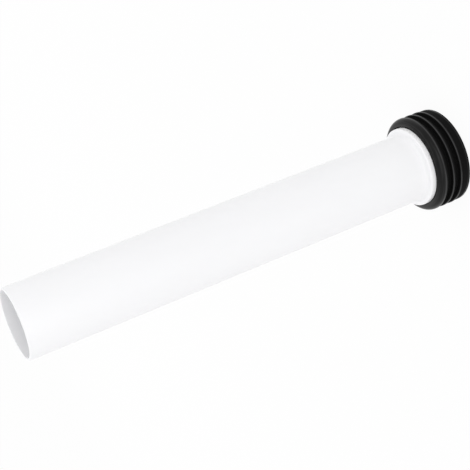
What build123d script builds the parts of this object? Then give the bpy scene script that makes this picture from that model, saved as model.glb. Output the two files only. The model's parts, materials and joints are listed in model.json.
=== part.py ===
from build123d import *
from math import atan2, cos, sin, tan
import os

os.makedirs("parts", exist_ok=True)

# Straight flush pipe with a finned rubber seal on its belled end, in millimetres.
# It stands on the seal's flat end face, with its axis on +Z and its plain end at the top.

# Driving sizes
pipe_outside = 45.0       # diameter of the plain run
pipe_wall = 1.6           # the same in the run and the bell
bell_outside = 52.6       # diameter of the wide end that the seal sits on
overall_length = 303.0    # from the seal's end face to the plain end
fin_count = 2
fin_pitch = 6.0           # from the collar's lower edge to the first fin's, and from fin to fin
fin_height = 3.4          # from the floor of a groove to the tip of a fin
groove_wall = 2.05        # rubber between the bell and the floor of a groove

# Seal, from its end face up
lip_floor = 4.0           # thickness of the inner lip that the bell's rim stands on
tail_height = 6.8         # plain band under the last fin
tail_step = 0.4           # how far the band lies inside the fins' tips
tail_break = 1.2          # bevel of the band's lower edge
fin_tip = 1.1             # width of a fin's outer edge
fin_lean = 0.4            # how far a fin's upper face climbs from its root to its tip
groove_floor = 1.4        # width of a groove's floor
collar_height = 4.8       # from the collar's lower edge to the mouth's face
collar_land = 0.6         # plain edge of the collar, under its round
seat_clearance = 0.05     # between the bell's outside and the seal's bore

# Pipe, from the seal's mouth up
bell_stand = 3.4          # how far the bell stands out of the seal, up to its shoulder
flare_height = 0.8        # from the bell's shoulder to the root of the flare
root_bevel = 1.3          # legs of the bevel that eases the root
shoulder_bevel = 0.6      # legs of the bevel that eases the shoulder

# Radii that follow
pipe_radius = pipe_outside / 2
pipe_bore = pipe_radius - pipe_wall
bell_radius = bell_outside / 2
bell_bore = bell_radius - pipe_wall
seal_bore = bell_radius + seat_clearance
groove_radius = seal_bore + groove_wall
fin_radius = groove_radius + fin_height
tail_radius = fin_radius - tail_step

# Heights that follow
collar_bottom = tail_height + fin_count * fin_pitch
seal_top = collar_bottom + collar_height
shoulder_height = seal_top + bell_stand
root_height = shoulder_height + flare_height


def turned(corners):
    """A solid turned about Z. Each corner of its section is a radius, a height and a rounding, 0 if sharp."""
    points = [(radius, 0, height) for radius, height, _ in corners]
    roundings = [rounding for _, _, rounding in corners]
    section = make_face(FilletPolyline(*points, radius=roundings, close=True))
    return revolve(section, Axis.Z)


def make_pipe():
    """The run, the flare and the bell, with one wall thickness."""
    flare_turn = atan2(bell_radius - pipe_radius, flare_height)
    outward, down = sin(flare_turn), cos(flare_turn)
    wall_drop = pipe_wall * tan(flare_turn / 2)
    return turned([
        (pipe_radius, overall_length, 0),
        (pipe_radius, root_height + root_bevel, 0),
        (pipe_radius + root_bevel * outward, root_height - root_bevel * down, 0),
        (bell_radius - shoulder_bevel * outward, shoulder_height + shoulder_bevel * down, 0),
        (bell_radius, shoulder_height - shoulder_bevel, 0),
        (bell_radius, lip_floor, 0),
        (bell_bore, lip_floor, 0),
        (bell_bore, shoulder_height - wall_drop, 0),
        (pipe_bore, root_height - wall_drop, 0),
        (pipe_bore, overall_length, 0),
    ])


def fin_corners(tip_bottom):
    """A groove and the fin under it, from the top down."""
    tip_top = tip_bottom + fin_tip
    floor_bottom = tip_top - fin_lean
    return [
        (groove_radius, floor_bottom + groove_floor, 0),
        (groove_radius, floor_bottom, 0),
        (fin_radius, tip_top, 0),
        (fin_radius, tip_bottom, 0),
    ]


def make_seal():
    """The rubber seal: rounded collar, grooves and fins, tail band and inner lip."""
    corners = [
        (seal_bore, seal_top, 0),
        (fin_radius, seal_top, collar_height - collar_land),
        (fin_radius, collar_bottom, 0),
    ]
    for fin in range(fin_count):
        corners += fin_corners(collar_bottom - (fin + 1) * fin_pitch)
    corners += [
        (tail_radius, tail_height - tail_step, 0),
        (tail_radius, tail_break, 0),
        (tail_radius - tail_break, 0, 0),
        (bell_bore, 0, 0),
        (bell_bore, lip_floor, 0),
        (seal_bore, lip_floor, 0),
    ]
    return turned(corners)


export_step(make_pipe(), "parts/flush_pipe.step")
export_step(make_seal(), "parts/fin_seal.step")
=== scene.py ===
import json
import math

import bmesh
import bpy
from mathutils import Matrix, Vector


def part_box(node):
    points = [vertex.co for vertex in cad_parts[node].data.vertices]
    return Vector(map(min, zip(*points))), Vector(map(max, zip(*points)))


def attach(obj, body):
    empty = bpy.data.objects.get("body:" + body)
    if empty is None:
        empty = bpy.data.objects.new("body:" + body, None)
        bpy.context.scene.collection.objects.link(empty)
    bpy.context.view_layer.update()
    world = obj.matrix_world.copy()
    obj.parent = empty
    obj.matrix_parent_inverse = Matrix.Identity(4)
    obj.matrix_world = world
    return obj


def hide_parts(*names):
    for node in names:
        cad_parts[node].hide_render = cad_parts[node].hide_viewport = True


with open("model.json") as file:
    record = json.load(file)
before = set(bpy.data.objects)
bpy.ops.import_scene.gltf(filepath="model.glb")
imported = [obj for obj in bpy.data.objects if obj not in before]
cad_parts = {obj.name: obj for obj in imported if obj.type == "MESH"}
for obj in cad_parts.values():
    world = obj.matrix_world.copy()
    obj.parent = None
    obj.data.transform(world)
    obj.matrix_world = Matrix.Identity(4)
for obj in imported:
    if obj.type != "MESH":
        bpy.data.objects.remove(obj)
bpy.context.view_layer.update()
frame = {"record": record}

# Straight flush pipe with a finned rubber seal, in metres. It stands on the seal's end face, axis on +Z.

MM = 0.001

# Sizes from the frame
mounts = {mount["name"]: mount for mount in frame["record"]["mounts"]}
pipe_radius = mounts["plain_end"]["dims"]["r_mm"] * MM
pipe_bore = mounts["waterway"]["dims"]["r_mm"] * MM
fin_radius = min(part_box("fin_seal")[1][:2])
pipe_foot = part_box("flush_pipe")[0][2]
pipe_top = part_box("flush_pipe")[1][2]
bell_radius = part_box("flush_pipe")[1][0]
seal_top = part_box("fin_seal")[1][2]
pipe_wall = pipe_radius - pipe_bore
bell_bore = bell_radius - pipe_wall

# Pipe details
cut_round = 0.25 * MM        # rim of the plain end
bell_stand = 3.4 * MM        # how far the bell stands out of the seal, up to its shoulder
flare_height = 0.8 * MM      # from the bell's shoulder to the root of the flare
shoulder_round = 1.0 * MM    # where the bell turns into the flare
root_round = 2.0 * MM        # where the flare turns into the run
shoulder = seal_top + bell_stand

# Seal details
seat_clearance = 0.05 * MM   # between the bell's outside and the seal's bore
mouth_round = 0.2 * MM       # inner edge of the mouth, round the bell
collar_height = 4.8 * MM     # from the collar's lower edge to the mouth's face
collar_round = 4.2 * MM
edge_round = 0.3 * MM        # lower edges of the collar and the fins
fin_count = 2
fin_pitch = 6.0 * MM         # from the collar's lower edge to the first fin's, and from fin to fin
fin_height = 3.4 * MM        # from the floor of a groove to the tip of a fin
fin_tip = 1.1 * MM           # width of a fin's outer edge
fin_lean = 0.4 * MM          # how far a fin's upper face climbs from its root to its tip
fin_round = 0.45 * MM        # upper edges of the fins
groove_floor = 1.4 * MM      # width of a groove's floor
groove_round = 0.5 * MM
tail_step = 0.4 * MM         # how far the tail band lies inside the fins' tips
tail_round = 1.1 * MM        # lower edge of the tail band
collar_bottom = seal_top - collar_height

# Smoothness
steps_around = 192
arc_segments = 8
sharp_turn = math.radians(40)
weld_distance = 0.001 * MM

# White plastic
pipe_shade = (0.917, 0.917, 0.935)
# the light end of the tint, used for the random clouds and for the painted light on the bell
pipe_white = (0.98, 0.98, 0.99)
cloud_share = 0.25           # how far the soft clouds go from the shade to the white
bell_light_share = 0.75         # how far the painted light on the bell goes from the shade to the white
# over which the painted light fades out below the bell's shoulder
bell_light_fade = 0.8 * MM
pipe_polish = (0.32, 0.42)   # roughness, from the clouds' dark places to their light ones
sawn_roughness = 0.6
light_soak = 0.3             # share of the light that soaks into the plastic
draw_depth = 0.05 * MM

# Black rubber
rubber_black = (0.003, 0.003, 0.003)
# the grey of the painted sheen and the painted highlights
painted_light_grey = (0.055, 0.055, 0.056)
rubber_gloss = 0.13
dull_roughness = 0.9
smooth_roughness = 0.28
smooth_from = 0.06           # painted sheen and highlight at which the rubber is smooth
collar_sheen_grey = (0.1, 0.4)     # painted sheen on the collar, outside its painted highlight streaks and in them
edge_fade = 0.8 * MM         # over which the collar's painted sheen sets in above its lower edge
mouth_fade = 2.2 * MM        # over which it sets in round the mouth, leaving a painted shade ring at the mouth
# Painted highlights: light lines along the collar's lower edge and the fins' tips
highlight_line = collar_bottom + 0.75 * fin_tip
highlight_width = 0.9 * MM        # to each side of the painted highlight lines on the collar and the fins
highlight_depth = (0.5 * MM, 0.1 * MM)    # below the fins' tips, where the painted highlight starts and is full
grain_depth = 0.05 * MM

# Camera, fitted to the photograph's outlines
camera_away = 0.69258        # from the part's axis, toward -Y
camera_height = 0.42266
camera_down = math.radians(20.992)
camera_pan = math.radians(0.075)
camera_roll = math.radians(-111.744)
camera_lens = 92.18
sensor_width = 36.0

# Light
world_level = 0.955          # light that falls on the part from all round
floor_radius = 4.0
floor_colour = 0.88
floor_glow = 0.93            # share of the floor's look that is plain white, the rest keeps the shadow
lamp_distance = 1.3
lamp_aim = 0.12              # height on the part that the lamps face


def rounding_reach(rounding, corner, before, after):
    """How far along each side of a corner its rounding reaches."""
    turn = (Vector(corner) - Vector(before)).angle(Vector(after) - Vector(corner))
    return rounding * math.tan(turn / 2)


def turned_piece(name, corners):
    """A piece turned about Z. Each corner of its section is a radius, a height and a rounding, 0 if sharp."""
    bm = bmesh.new()
    places = [(radius, 0, height) for radius, height, _ in corners]
    points = [bm.verts.new(place) for place in places]
    for point, following in zip(points, points[1:] + points[:1]):
        bm.edges.new((point, following))
    for index, (point, (_, _, rounding)) in enumerate(zip(points, corners)):
        if rounding:
            before, after = places[index - 1], places[(index + 1) % len(places)]
            reach = rounding_reach(rounding, places[index], before, after)
            bmesh.ops.bevel(
                bm, geom=[point], offset=reach, offset_type="OFFSET", segments=arc_segments,
                profile=0.5, affect="VERTICES", material=-1)
    bmesh.ops.spin(
        bm, geom=bm.verts[:] + bm.edges[:], cent=(0, 0, 0), axis=(0, 0, 1), angle=math.tau,
        steps=steps_around, use_merge=True)
    bmesh.ops.remove_doubles(bm, verts=bm.verts[:], dist=weld_distance)
    bmesh.ops.recalc_face_normals(bm, faces=bm.faces[:])
    mesh = bpy.data.meshes.new(name)
    bm.to_mesh(mesh)
    bm.free()
    mesh.shade_smooth()
    mesh.set_sharp_from_angle(angle=sharp_turn)
    piece = bpy.data.objects.new(name, mesh)
    bpy.context.collection.objects.link(piece)
    even_shading = piece.modifiers.new("even_shading", "WEIGHTED_NORMAL")
    even_shading.weight = 100
    even_shading.keep_sharp = True
    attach(piece, "root")
    return piece


def make_pipe():
    """The run, the flare and the bell, with one wall thickness."""
    root = shoulder + flare_height
    flare_turn = math.atan2(bell_radius - pipe_radius, flare_height)
    wall_drop = pipe_wall * math.tan(flare_turn / 2)
    return turned_piece("white_pipe", [
        (pipe_radius, pipe_top, cut_round),
        (pipe_radius, root, root_round),
        (bell_radius, shoulder, shoulder_round),
        (bell_radius, pipe_foot, 0),
        (bell_bore, pipe_foot, 0),
        (bell_bore, shoulder - wall_drop, shoulder_round),
        (pipe_bore, root - wall_drop, root_round),
        (pipe_bore, pipe_top, cut_round),
    ])


def fin_corners(tip_bottom):
    """A groove and the fin under it, from the top down."""
    tip_top = tip_bottom + fin_tip
    groove_radius = fin_radius - fin_height
    floor_bottom = tip_top - fin_lean
    return [
        (groove_radius, floor_bottom + groove_floor, groove_round),
        (groove_radius, floor_bottom, groove_round),
        (fin_radius, tip_top, fin_round),
        (fin_radius, tip_bottom, edge_round),
    ]


def make_seal():
    """The rubber seal: rounded collar, grooves and fins, tail band and inner lip."""
    seal_bore = bell_radius + seat_clearance
    tail_height = collar_bottom - fin_count * fin_pitch
    tail_radius = fin_radius - tail_step
    corners = [
        (seal_bore, seal_top, mouth_round),
        (fin_radius, seal_top, collar_round),
        (fin_radius, collar_bottom, edge_round),
    ]
    for fin in range(fin_count):
        corners += fin_corners(collar_bottom - (fin + 1) * fin_pitch)
    corners += [
        (tail_radius, tail_height - tail_step, 0),
        (tail_radius, 0, tail_round),
        (bell_bore, 0, 0),
        (bell_bore, pipe_foot, 0),
        (seal_bore, pipe_foot, 0),
    ]
    return turned_piece("rubber_seal", corners)


class Finish:
    """A node material around one principled shader."""

    def __init__(self, name):
        self.material = bpy.data.materials.new(name)
        self.material.use_nodes = True
        self.tree = self.material.node_tree
        self.shader = self.tree.nodes["Principled BSDF"]
        self.coordinates = self.add("ShaderNodeTexCoord").outputs["Object"]

    def add(self, kind):
        return self.tree.nodes.new(kind)

    def link(self, source, target):
        self.tree.links.new(source, target)

    def feed(self, name, value):
        """Gives an input of the shader a socket or a plain value."""
        target = self.shader.inputs[name]
        if isinstance(value, bpy.types.NodeSocket):
            self.link(value, target)
        else:
            target.default_value = value

    def noise(self, scale, detail, stretch=(1, 1, 1), places=None):
        """Noise on object coordinates or other places, drawn out along each axis with a small stretch."""
        if places is None:
            places = self.coordinates
        mapping = self.add("ShaderNodeMapping")
        mapping.inputs["Scale"].default_value = stretch
        self.link(places, mapping.inputs["Vector"])
        noise = self.add("ShaderNodeTexNoise")
        noise.inputs["Scale"].default_value = scale
        noise.inputs["Detail"].default_value = detail
        self.link(mapping.outputs["Vector"], noise.inputs["Vector"])
        return noise.outputs["Fac"]

    def along(self, axis):
        """Distance from the origin along one axis."""
        parts = self.add("ShaderNodeSeparateXYZ")
        self.link(self.coordinates, parts.inputs["Vector"])
        return parts.outputs[axis]

    def height(self):
        """Height above the seal's end face."""
        return self.along("Z")

    def radius(self):
        """Distance from the axis."""
        flat = self.add("ShaderNodeVectorMath")
        flat.operation = "MULTIPLY"
        flat.inputs[1].default_value = (1, 1, 0)
        self.link(self.coordinates, flat.inputs[0])
        length = self.add("ShaderNodeVectorMath")
        length.operation = "LENGTH"
        self.link(flat.outputs["Vector"], length.inputs[0])
        return length.outputs["Value"]

    def around(self):
        """Radius, place across and height: noise drawn out along the second runs round the axis."""
        places = self.add("ShaderNodeCombineXYZ")
        self.link(self.radius(), places.inputs["X"])
        self.link(self.along("X"), places.inputs["Y"])
        self.link(self.height(), places.inputs["Z"])
        return places.outputs["Vector"]

    def calculate(self, operation, first, second):
        """A Math node on a socket and a socket or number."""
        node = self.add("ShaderNodeMath")
        node.operation = operation
        self.link(first, node.inputs[0])
        if isinstance(second, (int, float)):
            node.inputs[1].default_value = second
        else:
            self.link(second, node.inputs[1])
        return node.outputs["Value"]

    def step(self, value, start, end, low=0.0, high=1.0):
        """A smooth change from low to high as value goes from start to end."""
        step = self.add("ShaderNodeMapRange")
        step.interpolation_type = "SMOOTHSTEP"
        step.inputs["From Min"].default_value = start
        step.inputs["From Max"].default_value = end
        step.inputs["To Min"].default_value = low
        step.inputs["To Max"].default_value = high
        self.link(value, step.inputs["Value"])
        return step.outputs["Result"]

    def tint(self, value, dark, light):
        """Colours between two shades, for a value from 0 to 1."""
        ramp = self.add("ShaderNodeValToRGB")
        ramp.color_ramp.elements[0].color = (*dark, 1)
        ramp.color_ramp.elements[1].color = (*light, 1)
        self.link(value, ramp.inputs["Fac"])
        return ramp.outputs["Color"]

    def bump(self, value, strength, depth):
        """Fine relief, too small to be modelled."""
        bump = self.add("ShaderNodeBump")
        bump.inputs["Strength"].default_value = strength
        bump.inputs["Distance"].default_value = depth
        self.link(value, bump.inputs["Height"])
        self.link(bump.outputs["Normal"], self.shader.inputs["Normal"])


def white_plastic():
    """White plastic with faint lengthwise marks, painted light on the bell that stands out of the seal, dull
    at the cut end.
    """
    finish = Finish("white_plastic")
    draw_marks = finish.noise(scale=900, detail=3, stretch=(1, 1, 0.01))
    cloud = finish.step(finish.noise(scale=35, detail=2, stretch=(1, 1, 0.4)), 0.3, 0.7)
    # Painted light: the bell that stands out of the seal is painted whiter, to lift the shade that falls on
    # it beside the black collar
    bell_painted_light = finish.step(finish.height(), shoulder - bell_light_fade, shoulder, bell_light_share, 0.0)
    whiteness = finish.calculate("ADD", finish.calculate("MULTIPLY", cloud, cloud_share), bell_painted_light)
    polish = finish.step(cloud, 0, 1, *pipe_polish)
    sawn = finish.step(finish.height(), pipe_top - 2 * cut_round, pipe_top - cut_round, 0.0, sawn_roughness)
    finish.feed("Base Color", finish.tint(whiteness, pipe_shade, pipe_white))
    finish.feed("Roughness", finish.calculate("MAXIMUM", polish, sawn))
    finish.feed("Subsurface Weight", light_soak)
    finish.feed("Subsurface Radius", (1.0, 1.0, 1.0))
    finish.feed("Subsurface Scale", pipe_wall)
    finish.bump(draw_marks, strength=0.06, depth=draw_depth)
    return finish.material


def black_rubber():
    """Black rubber: dull in the grooves and on the tail, smoother on the collar, with a painted sheen on the
    collar and painted highlights along the edges.
    """
    finish = Finish("black_rubber")
    grain = finish.noise(scale=2600, detail=4)
    cloud = finish.step(finish.noise(scale=60, detail=3), 0.3, 0.7, 0.6, 1.0)

    # The collar's painted sheen: its top painted lighter, as where light falls, in painted highlight streaks
    # that run round it
    sheen_streaks = finish.noise(scale=900, detail=2, stretch=(1, 0.05, 1), places=finish.around())
    painted_sheen = finish.step(sheen_streaks, 0.45, 0.7, *collar_sheen_grey)
    above_edge = finish.step(finish.height(), collar_bottom, collar_bottom + edge_fade)
    # Painted shade: the sheen is left off round the mouth, giving a dark ring between the bell and the collar
    past_mouth = finish.step(finish.radius(), bell_radius, bell_radius + mouth_fade)
    collar = finish.calculate("MULTIPLY", finish.calculate("MULTIPLY", above_edge, past_mouth), painted_sheen)

    # The painted highlight lines, one on the collar's edge and one on each fin, at the fins' pitch
    above_line = finish.calculate("SUBTRACT", finish.height(), highlight_line)
    from_line = finish.calculate("PINGPONG", above_line, fin_pitch / 2)
    near_line = finish.step(from_line, 0, highlight_width, 1.0, 0.0)
    outside = finish.step(finish.radius(), fin_radius - highlight_depth[0], fin_radius - highlight_depth[1])
    painted_highlights = finish.calculate("MULTIPLY", near_line, outside)

    # Painted sheen on the collar and painted highlights on the edges, varied at random by the clouds
    sheen_and_highlights = finish.calculate("MULTIPLY", finish.calculate("MAXIMUM", collar, painted_highlights), cloud)
    finish.feed("Base Color", finish.tint(sheen_and_highlights, rubber_black, painted_light_grey))
    finish.feed("Roughness", finish.step(sheen_and_highlights, 0, smooth_from, dull_roughness, smooth_roughness))
    finish.feed("Specular IOR Level", rubber_gloss)
    finish.bump(grain, strength=0.12, depth=grain_depth)
    return finish.material


def seen_or_mirrored(tree):
    """1 for rays from the camera, from a gloss and through glass, 0 for the light that falls on things."""
    rays = tree.nodes.new("ShaderNodeLightPath")
    share = rays.outputs["Is Camera Ray"]
    for kind in ("Is Glossy Ray", "Is Transmission Ray"):
        either = tree.nodes.new("ShaderNodeMath")
        either.operation = "MAXIMUM"
        tree.links.new(share, either.inputs[0])
        tree.links.new(rays.outputs[kind], either.inputs[1])
        share = either.outputs["Value"]
    return share


def white_stage():
    """A floor that is white to the eye and in reflections, and keeps a soft shadow."""
    material = bpy.data.materials.new("white_stage")
    material.use_nodes = True
    tree = material.node_tree
    tree.nodes.remove(tree.nodes["Principled BSDF"])
    paint = tree.nodes.new("ShaderNodeBsdfDiffuse")
    paint.inputs["Color"].default_value = (floor_colour, floor_colour, floor_colour, 1)
    glow = tree.nodes.new("ShaderNodeEmission")
    glow.inputs["Strength"].default_value = 1.0
    glow_share = tree.nodes.new("ShaderNodeMath")
    glow_share.operation = "MULTIPLY"
    glow_share.inputs[1].default_value = floor_glow
    mix = tree.nodes.new("ShaderNodeMixShader")
    tree.links.new(seen_or_mirrored(tree), glow_share.inputs[0])
    tree.links.new(glow_share.outputs["Value"], mix.inputs["Fac"])
    tree.links.new(paint.outputs["BSDF"], mix.inputs[1])
    tree.links.new(glow.outputs["Emission"], mix.inputs[2])
    tree.links.new(mix.outputs["Shader"], tree.nodes["Material Output"].inputs["Surface"])
    return material


def make_floor():
    """A plain round floor that the part stands on."""
    bm = bmesh.new()
    bmesh.ops.create_circle(bm, cap_ends=True, segments=64, radius=floor_radius)
    mesh = bpy.data.meshes.new("floor")
    bm.to_mesh(mesh)
    bm.free()
    floor = bpy.data.objects.new("floor", mesh)
    bpy.context.collection.objects.link(floor)
    floor.data.materials.append(white_stage())


def make_world():
    """An even light from all round, and white to the eye and in reflections."""
    world = bpy.data.worlds.new("studio")
    bpy.context.scene.world = world
    world.use_nodes = True
    tree = world.node_tree
    background = tree.nodes["Background"]
    background.inputs["Color"].default_value = (1, 1, 1, 1)
    level = tree.nodes.new("ShaderNodeMapRange")
    level.inputs["To Min"].default_value = world_level
    level.inputs["To Max"].default_value = 1.0
    tree.links.new(seen_or_mirrored(tree), level.inputs["Value"])
    tree.links.new(level.outputs["Result"], background.inputs["Strength"])


def softbox(name, turn, rise, width, watts):
    """A square lamp that faces the part, turned from the camera's side toward +X and raised, in degrees."""
    turned = Matrix.Rotation(math.radians(turn), 4, "Z")
    raised = Matrix.Rotation(math.radians(90 - rise), 4, "X")
    data = bpy.data.lights.new(name, "AREA")
    data.shape = "SQUARE"
    data.size = width
    data.energy = watts
    lamp = bpy.data.objects.new(name, data)
    bpy.context.collection.objects.link(lamp)
    back_off = Matrix.Translation((0, 0, lamp_distance))
    lamp.matrix_world = Matrix.Translation((0, 0, lamp_aim)) @ turned @ raised @ back_off


def make_lights():
    """Weak lamps that shape the even light of the world a little."""
    softbox("front", turn=0, rise=8, width=0.8, watts=1.25)
    softbox("key", turn=-30, rise=5, width=0.5, watts=0.95)
    softbox("side", turn=100, rise=10, width=0.6, watts=0.35)
    softbox("back", turn=180, rise=31, width=0.8, watts=1.2)


def make_camera():
    """A camera that looks down on the part, rolled so that the part lies across the picture."""
    data = bpy.data.cameras.new("camera")
    data.sensor_width = sensor_width
    data.lens = camera_lens
    camera = bpy.data.objects.new("camera", data)
    bpy.context.collection.objects.link(camera)
    level = Matrix.Rotation(math.pi / 2 - camera_down, 4, "X")
    place = Matrix.Translation((0, -camera_away, camera_height)) @ Matrix.Rotation(-camera_pan, 4, "Z")
    camera.matrix_world = place @ level @ Matrix.Rotation(camera_roll, 4, "Z")
    bpy.context.scene.camera = camera


pipe = make_pipe()
pipe.data.materials.append(white_plastic())
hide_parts("flush_pipe")

seal = make_seal()
seal.data.materials.append(black_rubber())
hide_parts("fin_seal")

make_floor()
make_world()
make_lights()
make_camera()
bpy.context.scene.view_settings.view_transform = "Standard"
